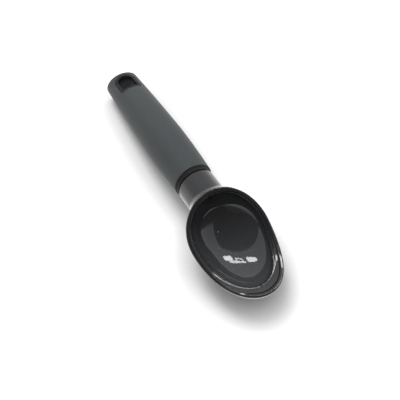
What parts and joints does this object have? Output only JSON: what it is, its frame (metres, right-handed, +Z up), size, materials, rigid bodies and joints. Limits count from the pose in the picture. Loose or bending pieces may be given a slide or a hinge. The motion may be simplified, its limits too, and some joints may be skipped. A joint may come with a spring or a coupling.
{
  "type": "ice cream scoop",
  "caption": "Hand-held ice cream scoop with a deep oval plastic bowl, a soft-touch oval handle, a dark collar and a D-shaped hang hole.",
  "frame": {"origin": "centre of the bounding box, at the level of the table the scoop lies on", "axes": "+X runs along the scoop from the handle's tail to the tip of the bowl, +Y across it, +Z up; the scoop lies open side up on the handle's tail and the underside of the bowl"},
  "size_m": [0.2064, 0.0534, 0.0383],
  "materials": {
    "head_plastic": "polished, dark grey",
    "gasket_rubber": "matte black",
    "collar_plastic": "matte black",
    "core_plastic": "as moulded, black",
    "screw_steel": "zinc plated",
    "grip_rubber": "soft touch, mid grey",
    "eyelet_plastic": "fine satin, black"
  },
  "bodies": {
    "root": {"scoop_head": "head_plastic", "neck_gasket": "gasket_rubber", "collar_ring": "collar_plastic", "core_upper": "core_plastic", "core_lower": "core_plastic", "core_screws": "screw_steel", "grip_sleeve": "grip_rubber", "hang_eyelet": "eyelet_plastic"}
  },
  "joints": []
}
